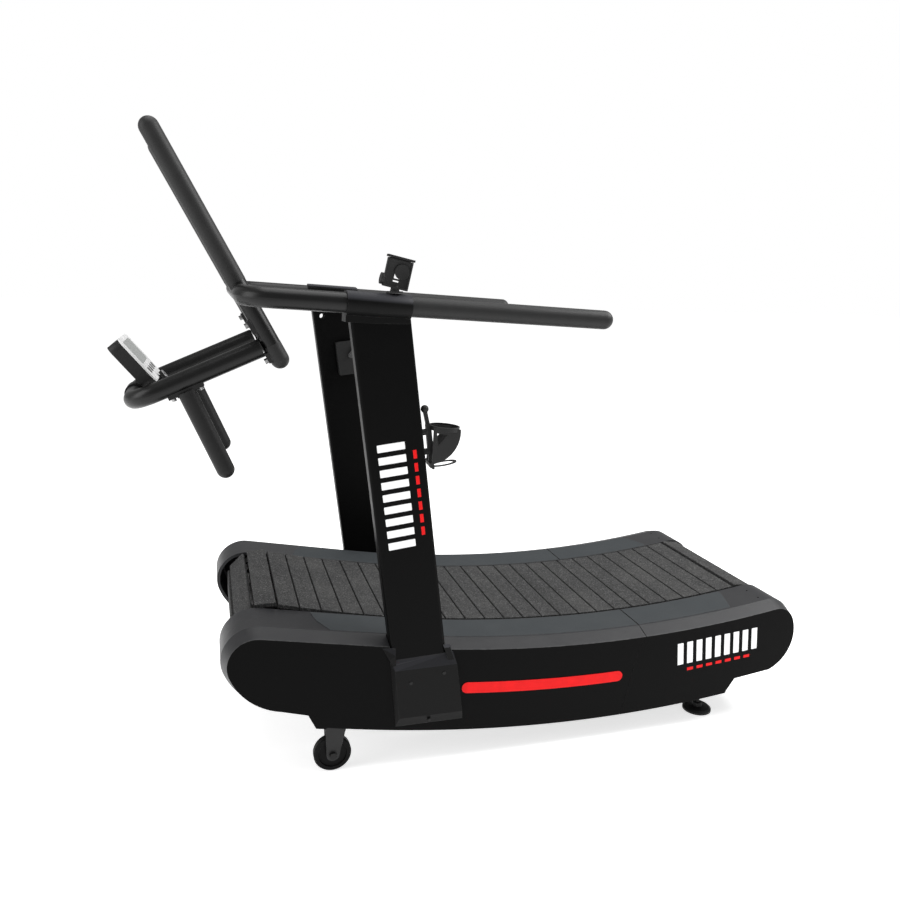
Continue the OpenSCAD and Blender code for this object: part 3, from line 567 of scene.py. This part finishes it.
def add_upright_marks(word, side, white, red):
    """White bars up the outer face of an upright, with a thin column of red dashes behind them."""
    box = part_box("post_" + word)
    face = box[0][1] if side < 0 else box[1][1]
    up = Vector((-math.sin(UPRIGHT_LEAN), 0, math.cos(UPRIGHT_LEAN)))
    across = Vector((math.cos(UPRIGHT_LEAN), 0, math.sin(UPRIGHT_LEAN)))
    middle = Vector((-0.1812, face + side * PRINT_T * 0.1, 0)) + up * 0.765
    add_bar_row(f"post_bars_{word}", "console_silver", white, middle - across * 0.012, up * 0.0318, 9,
                -UPRIGHT_LEAN - math.pi / 2, (0.019, 0.070), 0.016, side)
    add_bar_row(f"post_dashes_{word}", "stripe_red", red, middle + across * 0.046, up * 0.0335, 7,
                -UPRIGHT_LEAN, (0.009, 0.022), 0.0, side)


def add_cover_marks(word, side, white, red):
    """White bars on a rear cover, with a thin row of red dashes under them."""
    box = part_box("side_panel_rear_" + word)
    face = box[0][1] if side < 0 else box[1][1]
    y = face + side * PRINT_T * 0.1
    add_bar_row(f"cover_bars_{word}", "console_silver", white, (0.692, y, 0.250), (0.0312, 0, 0.0030), 9,
                -COVER_SLOPE, (0.019, 0.068), 0.020, side)
    add_bar_row(f"cover_dashes_{word}", "stripe_red", red, (0.700, y, 0.198), (0.032, 0, 0.0031), 7,
                -COVER_SLOPE, (0.020, 0.009), 0.003, side)


def add_markings():
    white = coated("white_print", grey(0.86), grey(0.8), rough=(0.4, 0.46), strength=0.02, dust=0.0,
                   gloss=0.3)
    red = FINISHES["stripe_red"]
    for side, word in ((-1, "left"), (1, "right")):
        add_upright_marks(word, side, white, red)
        add_cover_marks(word, side, white, red)


# ---- phone tray ----
def model_tray(width, depth, height):
    """An open box with a recessed front, a latch window, a slot under it and a pocket for the jaw."""
    tray = model_block((width, depth, height), (0, 0, height / 2 - 0.002))
    select_faces(tray, lambda face: face.normal.y < -0.9)
    bpy.ops.mesh.inset(thickness=0.0042, depth=0)
    bpy.ops.mesh.extrude_region_move(TRANSFORM_OT_translate={"value": (0, 0.0035, 0)})
    bpy.ops.object.mode_set(mode="OBJECT")
    window = model_block((0.016, 0.05, 0.013), (0, 0, 0.027))
    cut_with(tray, window)
    slot = model_block((0.016, 0.05, 0.0038), (-0.001, 0, 0.0145))
    cut_with(tray, slot)
    jaw_pocket = model_block((width - 0.006, 0.02, height), (0, 0.008, 0.034 + height / 2))
    cut_with(tray, jaw_pocket)
    round_edges(tray, 0.0008)
    return tray


def model_side_knob(at):
    """A dished knob with small flats round its edge."""
    knob = model_disc(0.0135, 0.0085, at, (0, -math.pi / 2, 0), 0.003, 0.001)
    smallest_flat = 3e-6
    select_faces(knob, lambda face: abs(face.normal.z) < 0.3 and face.calc_area() > smallest_flat
                 and face.index % 2 == 0)
    bpy.ops.mesh.inset(thickness=0.0002, depth=-0.0005)
    bpy.ops.object.mode_set(mode="OBJECT")
    return knob


def add_phone_tray():
    """The swivelling tray of the phone holder: a leaning box with a disc, a latch and a side knob."""
    width, depth, height = 0.061, 0.016, 0.0672
    low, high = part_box("phone_holder_base")
    swivel_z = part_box("phone_holder_back")[0][2] + 0.0046
    tray = model_tray(width, depth, height)
    disc = model_disc(0.0178, 0.0045, (0.008, -depth / 2 + 0.0018, 0.0385), (math.pi / 2, 0, 0), 0.003, 0.0008)
    latch = model_block((0.0075, 0.004, 0.0075), (0.006, -0.003, 0.0245))
    round_edges(latch, 0.0012)
    knob = model_side_knob((-width / 2 - 0.0042, 0, 0.014))
    leaning = [tray, disc, latch, knob]
    for piece in leaning:
        bake_place(piece)
        piece.data.transform(Matrix.Rotation(TRAY_LEAN, 4, "Y"))
    post = start(bpy.ops.mesh.primitive_cylinder_add, vertices=40, radius=0.0098, depth=0.009)
    round_edges(post, 0.001)
    made = join_all(leaning + [post])
    made.location = ((low[0] + high[0]) / 2, (low[1] + high[1]) / 2, swivel_z)
    settle(made, "phone_tray", "console_black", "phone_plate")
    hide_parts("phone_holder_back")
    bpy.ops.object.shade_smooth_by_angle(angle=SMOOTH_ANGLE)


# ---- console lead and screw ----
def model_lead(route, radius):
    """A round lead along a smooth line through the middle of a few points."""
    lead = start(bpy.ops.curve.primitive_nurbs_path_add)
    line = lead.data.splines[0]
    for point, at in zip(line.points, route):
        point.co = (*at, 1.0)
    line.use_endpoint_u = True
    line.resolution_u = 10
    lead.data.bevel_depth = radius
    lead.data.bevel_resolution = 5
    lead.data.use_fill_caps = True
    bpy.ops.object.convert(target="MESH")
    bpy.ops.object.mode_set(mode="EDIT")
    bpy.ops.mesh.select_all(action="SELECT")
    bpy.ops.mesh.remove_doubles(threshold=0.00002)
    bpy.ops.mesh.normals_make_consistent(inside=False)
    bpy.ops.object.mode_set(mode="OBJECT")
    return bpy.context.active_object


def add_console_lead():
    """The short lead from the hoop to the console, with a collar at its foot."""
    low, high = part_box("console_cable")
    y = (low[1] + high[1]) / 2
    route = [(low[0] + 0.0026, y, low[2] + 0.0005),
             (low[0] - 0.0005, y, low[2] + 0.007),
             (low[0] - 0.0015, y, low[2] + 0.014),
             (high[0] - 0.004, y, low[2] + 0.021),
             (high[0] - 0.001, y, high[2])]
    lead = model_lead(route, 0.0024)
    collar = model_disc(0.0042, 0.0045, (route[0][0], y, route[0][2] + 0.0022), (0, 0, 0), 0.001, 0.0004)
    made = settle(join_all([lead, collar]), "console_lead", "cable_black", body=None)
    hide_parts("console_cable")
    bpy.ops.object.shade_smooth_by_angle(angle=math.radians(40))
    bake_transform(made)


def add_lock_screw():
    """The zinc cap on the thumb screw that locks the console."""
    low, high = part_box("console_face")
    turn = math.pi / 2 - FACE_TILT
    out = Vector((math.sin(turn), 0, math.cos(turn)))
    down = Vector((math.cos(turn), 0, -math.sin(turn)))
    cap = model_disc(0.0122, 0.0032, (0, 0, 0), (0, 0, 0), 0.0024, 0.0007)
    cap.data.transform(Matrix.Rotation(turn, 4, "Y"))
    middle = Vector(((low[0] + high[0]) / 2, 0, (low[2] + high[2]) / 2))
    cap.location = middle + down * 0.072 + out * 0.0172
    settle(cap, "lock_screw_cap", "zinc", "console")
    bpy.ops.object.shade_smooth_by_angle(angle=SMOOTH_ANGLE)


# ---- floor and light ----
def add_stage():
    floor = start(bpy.ops.mesh.primitive_plane_add, size=60, location=(0, 0, -0.0005))
    material, tree, shader = new_material("pale_floor")
    soft = noise_at(tree, node(tree, "ShaderNodeTexCoord").outputs["Object"], 3.0)
    tree.links.new(blend_colour(tree, soft, grey(0.86), grey(0.9)), shader.inputs["Base Color"])
    shader.inputs["Roughness"].default_value = 0.9
    shader.inputs["Emission Color"].default_value = (1, 1, 1, 1)
    shader.inputs["Emission Strength"].default_value = FLOOR_GLOW
    floor.data.materials.append(material)
    floor.name = "floor"


def add_light(name, at, aim, size, power):
    data = bpy.data.lights.new(name, "AREA")
    data.shape = "RECTANGLE"
    data.size, data.size_y = size
    data.energy = power
    light = bpy.data.objects.new(name, data)
    light.location = at
    light.rotation_euler = (Vector(aim) - Vector(at)).to_track_quat("-Z", "Y").to_euler()
    bpy.context.scene.collection.objects.link(light)


def add_lights():
    """A white sweep behind the object, a dim even fill, and three softboxes."""
    scene = bpy.context.scene
    scene.view_settings.view_transform = "Standard"
    world = bpy.data.worlds.new("studio")
    world.use_nodes = True
    tree = world.node_tree
    fill = tree.nodes["Background"]
    fill.inputs["Color"].default_value = (1, 1, 1, 1)
    seen = node(tree, "ShaderNodeLightPath").outputs["Is Camera Ray"]
    tree.links.new(spread(tree, seen, 0.0, 1.0, FILL, 1.0), fill.inputs["Strength"])
    scene.world = world
    add_light("top_softbox", (-0.3, 0.1, 4.2), (0, 0, 0.4), (3.5, 2.6), 88)
    add_light("front_softbox", (-3.8, -0.6, 2.0), (-0.1, 0, 0.7), (2.0, 2.6), 54)
    add_light("rear_softbox", (2.5, -0.5, 3.3), (0.45, 0, 0.4), (2.2, 1.8), 130)


add_camera()
add_stage()
add_lights()
dress_cad()
for name, width in ROUNDED.items():
    soften(name, width)

add_markings()
add_phone_tray()
add_console_lead()
add_lock_screw()
